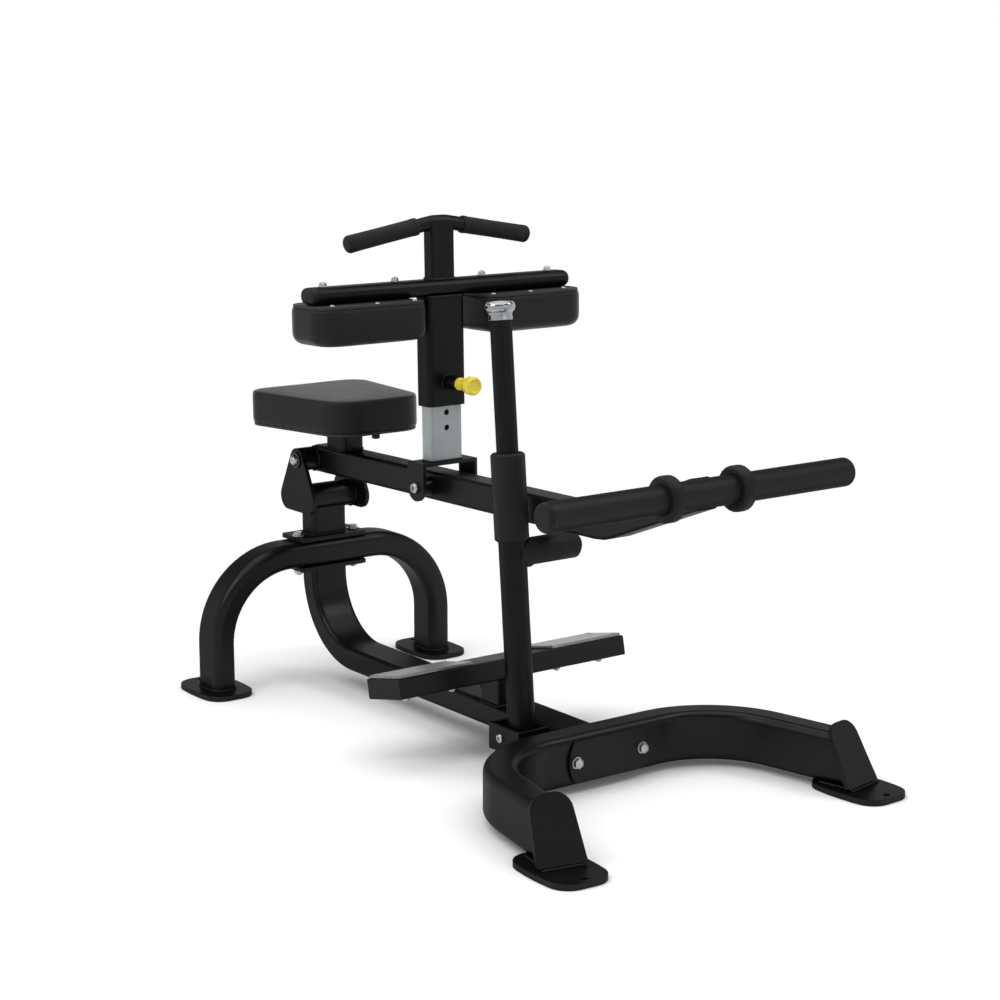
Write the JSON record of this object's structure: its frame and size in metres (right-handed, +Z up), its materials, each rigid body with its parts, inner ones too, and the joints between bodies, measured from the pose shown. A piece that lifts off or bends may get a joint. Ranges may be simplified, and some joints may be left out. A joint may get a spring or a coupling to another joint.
{
  "type": "seated calf raise machine",
  "caption": "Free-standing seated calf raise machine: bent-tube frame, hinged weight lever with seat, rocking adjustable knee pads, foot bar and safety catch.",
  "frame": {"origin": "middle of the machine's footprint on the floor", "axes": "+Z up; +Y from the weight horns to the seat and the rear arch; +X to the left of a person sitting in the seat, who faces -Y"},
  "size_m": [0.7446, 1.3242, 0.9327],
  "materials": {
    "black_paint": "satin black powder coat with a fine texture",
    "zinc": "bright zinc plating",
    "tread_metal": "satin, lightly brushed",
    "rubber": "matt",
    "grip_rubber": "matt, soft",
    "chrome": "polished",
    "nylon": "matt",
    "board": "black stained plywood",
    "vinyl": "dark grey leatherette with a fine grain",
    "plated_steel": "satin grey plating",
    "yellow_plastic": "semi-gloss",
    "spring_steel": "drawn wire"
  },
  "bodies": {
    "frame": {"rear_arch": "black_paint", "rear_foot_plate_left": "black_paint", "rear_foot_plate_right": "black_paint", "base_tube": "black_paint", "pivot_post": "black_paint", "cross_tube": "black_paint", "pivot_bracket_left": "black_paint", "pivot_bracket_right": "black_paint", "pivot_bolt": "zinc", "flange_bolt_left": "zinc", "flange_bolt_right": "zinc", "front_frame": "black_paint", "front_cap_plate_left": "black_paint", "front_cap_plate_right": "black_paint", "front_foot_plate_left": "black_paint", "front_foot_plate_right": "black_paint", "front_clamp_plate": "black_paint", "front_bolt_left": "zinc", "front_bolt_right": "zinc", "foot_bar": "black_paint", "tread_plate_left": "tread_metal", "tread_plate_right": "tread_metal", "foot_bar_riser": "black_paint", "catch_socket": "black_paint", "catch_bolt": "zinc"},
    "catch": {"catch_tube": "black_paint", "catch_sleeve": "rubber", "catch_handle": "black_paint", "catch_cap": "chrome", "catch_peg": "rubber"},
    "lever": {"pivot_hub": "black_paint", "pivot_bush": "nylon", "lever_arm": "black_paint", "horn_bar": "black_paint", "horn_collar_left": "rubber", "horn_collar_right": "rubber", "horn_end_cap_left": "rubber", "horn_end_cap_right": "rubber", "seat_post": "black_paint", "seat_board": "board", "seat_cushion": "vinyl"},
    "rocker": {"saddle": "black_paint", "saddle_bolt": "zinc", "inner_post": "plated_steel"},
    "carriage": {"sleeve": "black_paint", "sleeve_liner": "nylon", "knee_beam": "black_paint", "beam_end_cap_left": "rubber", "beam_end_cap_right": "rubber", "pad_board_left": "board", "pad_board_right": "board", "knee_pad_left": "vinyl", "knee_pad_right": "vinyl", "upper_post": "black_paint", "handle_bar": "black_paint", "grip_left": "grip_rubber", "grip_right": "grip_rubber", "pin_housing": "black_paint", "pin_spring": "spring_steel"},
    "pull_pin": {"pull_pin": "yellow_plastic"}
  },
  "joints": [
    {"name": "lever_pivot", "type": "hinge", "parent": "frame", "child": "lever", "pos_m": [0, 0.5796, 0.436], "axis": [-1, 0, 0], "range_deg": [-1.5, 14]},
    {"name": "saddle_tilt", "type": "hinge", "parent": "lever", "child": "rocker", "pos_m": [0, 0.17468, 0.44377], "axis": [-1, 0, 0], "range_deg": [-15, 15]},
    {"name": "knee_height", "type": "slide", "parent": "rocker", "child": "carriage", "axis": [0, 0.0192, 0.9998], "range_m": [-0.084, 0.056]},
    {"name": "pin_pull", "type": "slide", "parent": "carriage", "child": "pull_pin", "axis": [0, -0.9998, 0.0192], "range_m": [0, 0.01], "stiffness_N_per_m": 1200, "springref_m": -0.008},
    {"name": "catch_swing", "type": "hinge", "parent": "frame", "child": "catch", "pos_m": [-0.066, -0.1424, 0.06], "axis": [1, 0, 0], "range_deg": [0, 24]}
  ]
}
